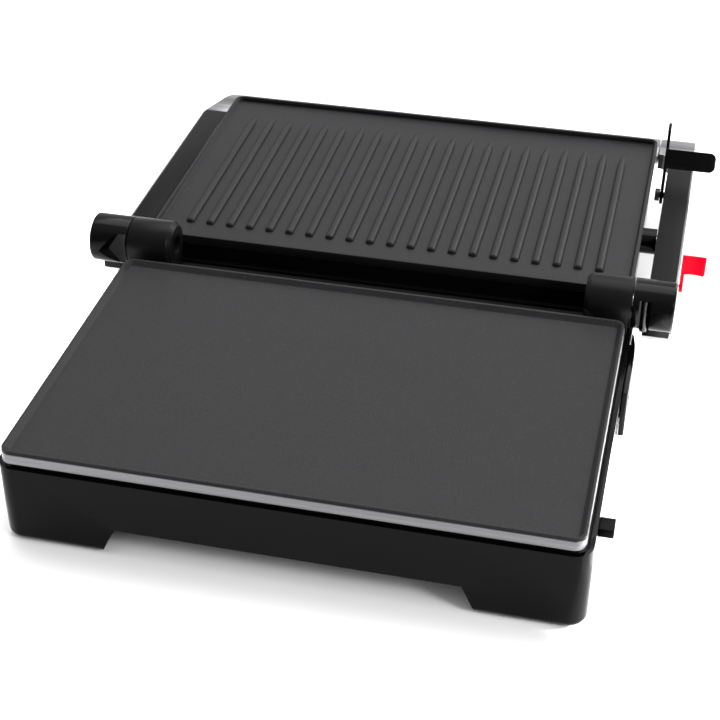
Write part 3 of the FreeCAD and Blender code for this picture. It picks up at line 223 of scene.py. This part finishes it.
SHEATH = Finish("oxidised_sheath", (0.2, 0.18, 0.17), 0.45, metallic=0.9, fine=0.0008, coarse=0.012,
                tone_spread=0.35)
SENSOR = Finish("sensor_brass", (0.6, 0.47, 0.26), 0.34, metallic=0.9, fine=0.0008)
ZINC = Finish("zinc_plated_steel", (0.52, 0.53, 0.55), 0.33, metallic=1.0, fine=0.0008, tone_spread=0.2)
GROUND = Finish("ground_steel", (0.55, 0.55, 0.56), 0.22, metallic=1.0, grain=Grain.BRUSHED_X, fine=0.0004)
RUBBER = Finish("foot_rubber", (0.02, 0.02, 0.021), 0.8, specular=0.25, fine=0.0004, relief=0.00005)
LAMP = Finish("lamp_lens", (0.5, 0.08, 0.03), 0.12, specular=0.5, fine=0.002, coat=0.4)

SLOT_FINISH: dict[str, Finish] = {
    "housing_black": GLOSS_BLACK,
    "inner_black": MATT_BLACK,
    "hinge_black": SATIN_BLACK,
    "arm_black": ARM_BLACK,
    "tray_black": GLOSS_BLACK,
    "brushed_trim": BRUSHED_TRIM,
    "brushed_handle": BRUSHED_HANDLE,
    "griddle": NON_STICK,
    "heat_pan_steel": PLATED,
    "element_steel": SHEATH,
    "sensor": SENSOR,
    "rubber": RUBBER,
    "fastener": ZINC,
    "pin_steel": GROUND,
    "latch_black": LATCH_BLACK,
    "release_red": RED,
    "lamp": LAMP,
}


# ------------------------------------------------------------------ the work bench
class Bench:
    """Modelling moves that every piece is made with."""

    @staticmethod
    def clear() -> None:
        """Leaves edit mode and deselects everything."""
        if bpy.context.mode != "OBJECT":
            bpy.ops.object.mode_set(mode="OBJECT")
        bpy.ops.object.select_all(action="DESELECT")

    @staticmethod
    def take(piece: bpy.types.Object) -> None:
        """Selects one piece alone and makes it active."""
        Bench.clear()
        piece.select_set(True)
        bpy.context.view_layer.objects.active = piece

    @staticmethod
    def settle(piece: bpy.types.Object) -> None:
        """Puts a piece's place, turn and scale into its mesh."""
        Bench.take(piece)
        bpy.ops.object.transform_apply(location=True, rotation=True, scale=True)

    @staticmethod
    def block(name: str, low: Sequence[float], high: Sequence[float]) -> bpy.types.Object:
        """Adds a block between two corners.

        Args:
            name: the piece's name.
            low: its lowest corner.
            high: its highest corner.

        Returns:
            The new piece, settled.
        """
        Bench.clear()
        low, high = Vector(low), Vector(high)
        bpy.ops.mesh.primitive_cube_add(size=1.0, location=(low + high) / 2)
        piece = bpy.context.object
        piece.name = name
        piece.scale = high - low
        Bench.settle(piece)
        return piece

    @staticmethod
    def rod(name: str, centre: Sequence[float], radius: float, length: float, turn: Sequence[float],
            sides: int = 48) -> bpy.types.Object:
        """Adds a cylinder.

        Args:
            name: the piece's name.
            centre: its middle.
            radius: its radius.
            length: its length.
            turn: its turn from upright, as Euler angles.
            sides: faces round it.

        Returns:
            The new piece, settled.
        """
        Bench.clear()
        bpy.ops.mesh.primitive_cylinder_add(vertices=sides, radius=radius, depth=length, location=centre,
                                            rotation=turn)
        piece = bpy.context.object
        piece.name = name
        Bench.settle(piece)
        return piece

    @staticmethod
    def faces(piece: bpy.types.Object, test: Callable[[Vector, Vector], bool]) -> None:
        """Opens a piece for editing and selects the faces whose centre and normal pass a test."""
        Bench.take(piece)
        bpy.ops.object.mode_set(mode="EDIT")
        bpy.ops.mesh.select_mode(type="FACE")
        bpy.ops.mesh.select_all(action="DESELECT")
        mesh = bmesh.from_edit_mesh(piece.data)
        for face in mesh.faces:
            face.select_set(test(face.calc_center_median(), face.normal))
        bmesh.update_edit_mesh(piece.data)

    @staticmethod
    def edges(piece: bpy.types.Object, test: Callable[[Vector, Vector], bool]) -> None:
        """Opens a piece for editing and selects the edges whose two ends pass a test."""
        Bench.take(piece)
        bpy.ops.object.mode_set(mode="EDIT")
        bpy.ops.mesh.select_mode(type="EDGE")
        bpy.ops.mesh.select_all(action="DESELECT")
        mesh = bmesh.from_edit_mesh(piece.data)
        for edge in mesh.edges:
            edge.select_set(test(edge.verts[0].co, edge.verts[1].co))
        bmesh.update_edit_mesh(piece.data)

    @staticmethod
    def points(piece: bpy.types.Object, test: Callable[[Vector], bool]) -> None:
        """Opens a piece for editing and selects the points that pass a test."""
        Bench.take(piece)
        bpy.ops.object.mode_set(mode="EDIT")
        bpy.ops.mesh.select_mode(type="VERT")
        bpy.ops.mesh.select_all(action="DESELECT")
        mesh = bmesh.from_edit_mesh(piece.data)
        for point in mesh.verts:
            point.select_set(test(point.co))
        bmesh.update_edit_mesh(piece.data)

    @staticmethod
    def cut(piece: bpy.types.Object, tool: bpy.types.Object) -> None:
        """Takes a tool's shape out of a piece and throws the tool away."""
        Bench.take(piece)
        taken = piece.modifiers.new("cut", "BOOLEAN")
        taken.object = tool
        taken.operation = "DIFFERENCE"
        taken.solver = "EXACT"
        bpy.ops.object.modifier_apply(modifier=taken.name)
        bpy.data.objects.remove(tool, do_unlink=True)

    @staticmethod
    def mend(piece: bpy.types.Object) -> None:
        """Merges points that lie on each other and drops faces without area."""
        Bench.faces(piece, lambda centre, normal: True)
        bpy.ops.mesh.select_all(action="SELECT")
        bpy.ops.mesh.remove_doubles(threshold=MERGE_WITHIN)
        bpy.ops.mesh.dissolve_degenerate(threshold=MERGE_WITHIN)
        Bench.clear()

    @staticmethod
    def soften(piece: bpy.types.Object, width: float, segments: int = 2, angle: float = 32.0) -> None:
        """Rounds a piece's sharp edges and shades it smooth.

        Args:
            piece: the piece.
            width: how far from the edge the rounding starts.
            segments: faces across the rounding.
            angle: the edges sharper than this many degrees are rounded.
        """
        Bench.take(piece)
        if width > 0:
            rounding = piece.modifiers.new("rounding", "BEVEL")
            rounding.width = width
            rounding.segments = segments
            rounding.limit_method = "ANGLE"
            rounding.angle_limit = math.radians(angle)
            rounding.use_clamp_overlap = True
            rounding.miter_outer = "MITER_ARC"
            bpy.ops.object.modifier_apply(modifier=rounding.name)
        bpy.ops.object.shade_smooth_by_angle(angle=SMOOTH_ANGLE)

    @staticmethod
    def join(pieces: Sequence[bpy.types.Object]) -> bpy.types.Object:
        """Joins pieces into the first one and returns it."""
        Bench.take(pieces[0])
        for piece in pieces[1:]:
            piece.select_set(True)
        bpy.ops.object.join()
        return pieces[0]

    @staticmethod
    def hand_over(piece: bpy.types.Object, node: str, finish: Finish | None = None) -> None:
        """Dresses a finished piece, puts it on its node's body and lets it stand for that node.

        Args:
            piece: the finished piece.
            node: the frame node that it stands for.
            finish: its finish, if it isn't the one of its slot.
        """
        Bench.clear()
        slot = Layout.slot(node)
        piece.data.materials.clear()
        piece.data.materials.append((finish or SLOT_FINISH[slot]).material())
        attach(piece, Layout.body(node))
        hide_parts(node)
        LOG.info("%s stands for %s", piece.name, node)


class Layout:
    """What the frame says about its nodes."""

    record = frame["record"]

    @staticmethod
    def body(node: str) -> str:
        """The body that a node belongs to."""
        bodies = Layout.record["behaviour"]["bodies"]
        return next(name for name, nodes in bodies.items() if node in nodes)

    @staticmethod
    def slot(node: str) -> str:
        """The material slot of a node."""
        return next(part["material_slot"] for part in Layout.record["subparts"] if part["node"] == node)


# ------------------------------------------------------------------ plates
@dataclass
class CookingPlate:
    """A cast plate: a wide edge on a narrower body, with a shallow basin behind a narrow rim."""

    node: str
    name: str
    corner: float = 6 * MM
    edge_height: float = 1.8 * MM
    body_inset: float = 1.9 * MM
    rim_land: float = 1.5 * MM
    rim_slope: float = 2.4 * MM
    depth: float = 3.0 * MM
    corner_faces: int = 12
    rounding: float = 0.35 * MM

    def blank(self) -> bpy.types.Object:
        """The plate's outside, without its basin.

        Returns:
            The blank, as a closed piece.
        """
        low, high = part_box(self.node)
        plate = Bench.block(self.name, (low.x, self.front(), high.z - self.edge_height), high)
        Bench.edges(plate, lambda a, b: abs(a.z - b.z) > 0.5 * self.edge_height)
        bpy.ops.mesh.bevel(offset=self.corner, segments=self.corner_faces, affect="EDGES")
        Bench.faces(plate, lambda centre, normal: normal.z < -FLAT_FACE)
        bpy.ops.mesh.inset(thickness=self.body_inset)
        drop = high.z - self.edge_height - low.z
        bpy.ops.mesh.extrude_region_move(TRANSFORM_OT_translate={"value": (0, 0, -drop)})
        Bench.clear()
        return plate

    def front(self) -> float:
        """Where the plate starts along Y."""
        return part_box(self.node)[0].y

    def build(self) -> None:
        """Makes the flat griddle plate."""
        plate = self.blank()
        Bench.faces(plate, lambda centre, normal: normal.z > FLAT_FACE)
        bpy.ops.mesh.inset(thickness=self.rim_land)
        bpy.ops.mesh.inset(thickness=self.rim_slope, depth=-self.depth)
        Bench.soften(plate, self.rounding, 3, 20.0)
        Bench.hand_over(plate, self.node)


@dataclass
class RibbedPlate(CookingPlate):
    """The lid's plate: no rim along the hinge, and a row of ribs."""

    ribs: int = 21
    pitch: float = 12.9 * MM
    rib_radius: float = 2.7 * MM
    hinge_margin: float = 16.6 * MM
    far_margin: float = 22.0 * MM
    run_out: float = 17.0 * MM
    rib_sides: int = 24
    rib_end_narrowing: float = 0.7
    rib_blunt: float = 1.5 * MM
    rim_slope: float = 1.4 * MM
    far_slope: float = 0.3 * MM
    basin_overrun: float = 20 * MM
    basin_rise: float = 1 * MM

    def rib(self, floor: float, start: float, end: float) -> bpy.types.Object:
        """One rib on the plate's middle line: blunt towards the hinge, fading at its far end.

        Args:
            floor: height of the basin's floor.
            start: the rib's blunt end along Y.
            end: its faded end.

        Returns:
            The rib.
        """
        turn = (math.pi / 2, 0, 0)
        centre = (0, (start + end) / 2, floor)
        rib = Bench.rod("rib", centre, self.rib_radius, end - start, turn, self.rib_sides)
        Bench.faces(rib, lambda centre, normal: True)
        bpy.ops.mesh.bisect(plane_co=(0, end - self.run_out, floor), plane_no=(0, 1, 0))
        Bench.points(rib, lambda place: place.y > end - NEAR)
        bpy.ops.transform.translate(value=(0, 0, -self.rib_radius))
        bpy.ops.transform.resize(value=(self.rib_end_narrowing, 1, 1), center_override=(0, end, floor))
        Bench.edges(rib, lambda a, b: max(a.y, b.y) < start + NEAR)
        bpy.ops.mesh.bevel(offset=self.rib_blunt, segments=4, affect="EDGES")
        Bench.clear()
        return rib

    def build(self) -> None:
        """Makes the ribbed plate."""
        low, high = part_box(self.node)
        plate = self.blank()
        floor = high.z - self.depth
        wall = self.rim_land + self.rim_slope
        basin_top = high.z + self.basin_rise
        basin = Bench.block("basin", (low.x + wall, low.y - self.basin_overrun, floor),
                            (high.x - wall, high.y - self.rim_land - self.far_slope, basin_top))
        Bench.edges(basin, lambda a, b: abs(a.z - b.z) > self.depth and min(a.y, b.y) > low.y)
        bpy.ops.mesh.bevel(offset=self.corner - wall, segments=4, affect="EDGES")
        Bench.faces(basin, lambda centre, normal: normal.z > FLAT_FACE)
        share = 1 + self.rim_slope / self.depth * (self.depth + self.basin_rise) / (high.x - wall)
        bpy.ops.transform.resize(value=(share, 1, 1), center_override=(0, 0, 0))
        bpy.ops.transform.translate(value=(0, self.far_slope, 0))
        Bench.clear()
        Bench.cut(plate, basin)
        Bench.mend(plate)
        Bench.soften(plate, self.rounding, 3, 28.0)
        Bench.mend(plate)
        pieces = [plate]
        pattern = self.rib(floor, low.y + self.hinge_margin, high.y - self.far_margin)
        for i in range(self.ribs):
            rib = pattern.copy()
            rib.data = pattern.data.copy()
            bpy.context.collection.objects.link(rib)
            rib.location.x = (i - (self.ribs - 1) / 2) * self.pitch
            Bench.settle(rib)
            pieces.append(rib)
        bpy.data.objects.remove(pattern, do_unlink=True)
        plate = Bench.join(pieces)
        Bench.soften(plate, 0)
        Bench.hand_over(plate, self.node)


# ------------------------------------------------------------------ pieces that keep the frame's shape
@dataclass
class SoftEdged:
    """A piece that keeps its node's shape and gets the rounded edges that a mould or a press leaves."""

    node: str
    width: float
    segments: int = 2
    grooves: tuple = field(default_factory=tuple)
    finish: Finish | None = None

    def build(self) -> None:
        """Copies the node's mesh, joins its triangles into faces, cuts the grooves and rounds the edges."""
        source = frame["nodes"][self.node]
        piece = bpy.data.objects.new(self.node + "_shell", source.data.copy())
        bpy.context.collection.objects.link(piece)
        Bench.faces(piece, lambda centre, normal: True)
        bpy.ops.mesh.remove_doubles(threshold=0.004 * MM)
        bpy.ops.mesh.select_all(action="SELECT")
        bpy.ops.mesh.dissolve_limited(angle_limit=DISSOLVE_ANGLE)
        Bench.clear()
        for low, high in self.grooves:
            Bench.cut(piece, Bench.block("groove", low, high))
        Bench.soften(piece, self.width, self.segments)
        Bench.hand_over(piece, self.node, self.finish)


# ------------------------------------------------------------------ the red lever
@dataclass
class ReleaseLever:
    """The red lever: an eye, a flat blade and a finger tab with a scooped face."""

    node: str = "release_lever"
    thick: float = 2.2 * MM
    tab_thick: float = 2.4 * MM
    tab_height: float = 13.0 * MM
    eye_radius: float = 3.8 * MM
    blade_half: float = 3.2 * MM
    scoop: float = 1.1 * MM
    scoop_steps: int = 12
    tab_corner: float = 2.4 * MM
    tab_corner_height: float = 6 * MM

    def build(self) -> None:
        """Makes the lever."""
        low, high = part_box(self.node)
        eye_z = low.z + self.eye_radius
        eye_y = low.y + self.eye_radius
        centre = (low.x + self.thick / 2, eye_y, eye_z)
        eye = Bench.rod("release_lever_red", centre, self.eye_radius, self.thick, (0, math.pi / 2, 0))
        half = self.blade_half
        blade = Bench.block("blade", (low.x, eye_y, eye_z - half), (low.x + self.thick, high.y, eye_z + half))
        Bench.points(blade, lambda place: place.y > eye_y + 1 * MM and place.z > eye_z)
        bpy.ops.transform.translate(value=(0, 0, high.z - eye_z - half))
        Bench.points(blade, lambda place: place.y > eye_y + 1 * MM and place.z < eye_z)
        bpy.ops.transform.translate(value=(0, 0, high.z - self.tab_height - eye_z + half))
        Bench.clear()
        tab = self.tab(low, high)
        for part in (eye, blade):
            Bench.soften(part, 0.4 * MM, 3)
        lever = Bench.join([eye, blade, tab])
        Bench.hand_over(lever, self.node)

    def tab(self, low: Vector, high: Vector) -> bpy.types.Object:
        """The finger tab, scooped on the face towards the hinge.

        Args:
            low: the lever's lowest corner.
            high: the lever's highest corner.

        Returns:
            The tab.
        """
        front = high.y - self.tab_thick
        tab = Bench.block("tab", (low.x, front, high.z - self.tab_height), high)
        Bench.faces(tab, lambda centre, normal: True)
        for i in range(1, self.scoop_steps):
            at = low.x + (high.x - low.x) * i / self.scoop_steps
            bpy.ops.mesh.select_all(action="SELECT")
            bpy.ops.mesh.bisect(plane_co=(at, front, high.z), plane_no=(1, 0, 0))
        for i in range(2, self.scoop_steps - 1):
            at = low.x + (high.x - low.x) * i / self.scoop_steps
            depth = self.scoop * math.sin(math.pi * (i - 1) / (self.scoop_steps - 2))
            Bench.points(tab, lambda place: abs(place.x - at) < NEAR and place.y < front + NEAR)
            bpy.ops.transform.translate(value=(0, depth, 0))
        corner_top = high.z - self.tab_corner_height
        Bench.edges(tab, lambda a, b: min(a.x, b.x) > high.x - NEAR and max(a.z, b.z) < corner_top)
        bpy.ops.mesh.bevel(offset=self.tab_corner, segments=5, affect="EDGES")
        Bench.soften(tab, 0.35 * MM, 3)
        return tab


# ------------------------------------------------------------------ stage
@dataclass
class Stage:
    """Pale floor, soft studio light and the camera.

    Sizes and places are in metres. The camera's eye and aim look down on the grill from its front right.
    """

    floor_size: float = 8.0
    floor_colour: tuple[float, float, float] = (0.9, 0.9, 0.9)
    eye: tuple[float, float, float] = (0.1762, -0.6767, 0.5696)
    aim: tuple[float, float, float] = (-0.00778, 0.10629, 0.0)
    lens: float = 80.2
    sensor_width: float = 36.0

    def build(self) -> None:
        """Makes the floor, the lights and the camera."""
        self.floor()
        self.light("overhead", (0.1, 0.8, 1.6), (0.0, 0.3, 0.0), (1.8, 1.4), 34.0)
        self.light("back_right", (1.3, 1.7, 1.1), (0.0, 0.2, 0.0), (1.2, 1.2), 34.0)
        self.light("glint", (1.02, -0.545, 0.68), (-0.16, 0.1, 0.06), (0.3, 0.3), 9.0)
        self.pool("floor_right", (0.57, 0.02, 1.6), (0.57, 0.02, 0.0), 14.0, 150.0)
        self.pool("floor_left", (-0.6, 0.1, 1.6), (-0.6, 0.1, 0.0), 14.0, 100.0)
        self.pool("wall_foot_right", (0.95, 0.04, 0.42), (0.498, 0.04, 0.0), 18.0, 90.0)
        self.pool("wall_foot_left", (-0.95, 0.1, 0.42), (-0.498, 0.1, 0.0), 18.0, 80.0)
        self.pool("beside_base", (0.45, 0.03, 1.2), (0.29, 0.03, 0.0), 6.2, 220.0)
        self.surroundings()
        self.camera()

    def floor(self) -> None:
        """The floor, under the feet."""
        Bench.clear()
        bpy.ops.mesh.primitive_plane_add(size=self.floor_size, location=(0, 0, -0.02 * MM))
        floor = bpy.context.object
        floor.name = "floor"
        finish = Finish("floor_paper", self.floor_colour, 0.9, specular=0.1, tone_spread=0.004,
                        relief=0.000002)
        floor.data.materials.append(finish.material())

    @staticmethod
    def hang(name: str, data: bpy.types.ID, place: Sequence[float], aim: Sequence[float]) -> bpy.types.Object:
        """Hangs a lamp or a camera at a place, level, facing a point.

        Args:
            name: the object's name.
            data: the lamp's or camera's data.
            place: where it hangs.
            aim: the point it faces.

        Returns:
            The new object.
        """
        hung = bpy.data.objects.new(name, data)
        bpy.context.collection.objects.link(hung)
        hung.location = place
        hung.rotation_euler = (Vector(aim) - Vector(place)).to_track_quat("-Z", "Y").to_euler()
        return hung

    @staticmethod
    def light(name: str, place: Sequence[float], aim: Sequence[float], size: tuple[float, float],
              power: float) -> None:
        """Adds one soft light.

        Args:
            name: the light's name.
            place: where it hangs.
            aim: the point it faces.
            size: its width and height.
            power: its power in watts.
        """
        data = bpy.data.lights.new(name, "AREA")
        data.shape = "RECTANGLE"
        data.size, data.size_y = size
        data.energy = power
        Stage.hang(name, data, place, aim)

    @staticmethod
    def pool(name: str, place: Sequence[float], aim: Sequence[float], half_angle: float,
             power: float) -> None:
        """Adds a lamp that throws a round pool of light on the floor beside the grill.

        Args:
            name: the lamp's name.
            place: where it hangs.
            aim: the point it faces.
            half_angle: from the middle of its beam to its edge, in degrees.
            power: its power in watts.
        """
        data = bpy.data.lights.new(name, "SPOT")
        data.spot_size = 2 * math.radians(half_angle)
        data.spot_blend = POOL_EDGE
        data.energy = power
        Stage.hang(name, data, place, aim)

    @staticmethod
    def surroundings() -> None:
        """A pale surround overhead and behind that dims towards the front."""
        world = bpy.data.worlds.new("studio")
        world.use_nodes = True
        nodes = world.node_tree.nodes
        links = world.node_tree.links
        sky = nodes["Background"]
        sky.inputs["Color"].default_value = (1.0, 1.0, 1.0, 1.0)
        coordinates = nodes.new("ShaderNodeTexCoord")
        towards = nodes.new("ShaderNodeVectorMath")
        towards.operation = "DOT_PRODUCT"
        towards.inputs[1].default_value = (0.0, 0.5, 0.866)
        fade = nodes.new("ShaderNodeMapRange")
        fade.inputs["From Min"].default_value = -0.1
        fade.inputs["From Max"].default_value = 0.9
        fade.inputs["To Min"].default_value = 0.4
        fade.inputs["To Max"].default_value = 1.5
        links.new(coordinates.outputs["Generated"], towards.inputs[0])
        links.new(towards.outputs["Value"], fade.inputs["Value"])
        links.new(fade.outputs["Result"], sky.inputs["Strength"])
        bpy.context.scene.world = world
        bpy.context.scene.view_settings.view_transform = "Standard"

    def camera(self) -> None:
        """The camera, level, looking down on the grill from its front right."""
        data = bpy.data.cameras.new("camera")
        data.lens = self.lens
        data.sensor_width = self.sensor_width
        bpy.context.scene.camera = self.hang("camera", data, self.eye, self.aim)


# ------------------------------------------------------------------ the whole
def soft_edged_pieces() -> list[SoftEdged]:
    """The pieces that keep their node's shape, with the width of their edges' rounding."""
    low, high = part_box("base_housing")
    seam_y = low.y + 15 * MM
    seam = ((high.x - 1.7 * MM, seam_y, low.z + 8 * MM),
            (high.x + 1 * MM, seam_y + 0.5 * MM, high.z + 1 * MM))
    widths = {
        "lower_trim_band": 0.3, "upper_trim_band": 0.3, "base_deck": 0.4, "lid_deck": 0.4,
        "lid_housing": 0.5, "lid_cover": 0.3, "hinge_bracket_right": 0.3, "hinge_bracket_left": 0.3,
        "arm_knuckle_right": 0.3, "arm_knuckle_left": 0.3, "arm_liner_right": 0.5, "arm_liner_left": 0.5,
        "arm_skin_right": 0.25, "arm_skin_left": 0.25, "handle_bar": 0.6, "handle_cap_right": 0.6,
        "handle_cap_left": 0.6, "drip_tray": 0.5, "latch_catch": 0.5, "lock_lever": 0.5,
        "lock_lever_screw": 0.3, "knuckle_stop": 0.4, "cord_inlet": 0.5, "rubber_feet": 0.3,
        "base_bottom_cover": 0.3,
    }
    special = {"arm_skin_right": BRUSHED_ARM, "arm_skin_left": BRUSHED_ARM,
               "arm_knuckle_right": KNUCKLE_BLACK, "arm_knuckle_left": KNUCKLE_BLACK,
               "lock_lever_screw": BLACKED, "knuckle_stop": BLACKED}
    pieces = [SoftEdged(node, width * MM, finish=special.get(node)) for node, width in widths.items()]
    pieces.append(SoftEdged("base_housing", 0.8 * MM, 3, grooves=(seam,)))
    return pieces


def dress_the_rest() -> None:
    """Gives every node that still shows the finish of its slot."""
    for node, shown in frame["nodes"].items():
        finish = SLOT_FINISH[Layout.slot(node)]
        shown.data.materials.clear()
        shown.data.materials.append(finish.material())
        LOG.info("%s has %s", node, finish.name)


def main() -> None:
    """Builds the whole picture in order."""
    logging.basicConfig(level=logging.INFO, format="%(name)s: %(message)s")
    Stage().build()
    dress_the_rest()
    CookingPlate("lower_griddle_plate", "griddle_plate").build()
    RibbedPlate("upper_ribbed_plate", "ribbed_plate").build()
    ReleaseLever().build()
    for piece in soft_edged_pieces():
        piece.build()
    Bench.clear()


if __name__ == "__main__":
    main()
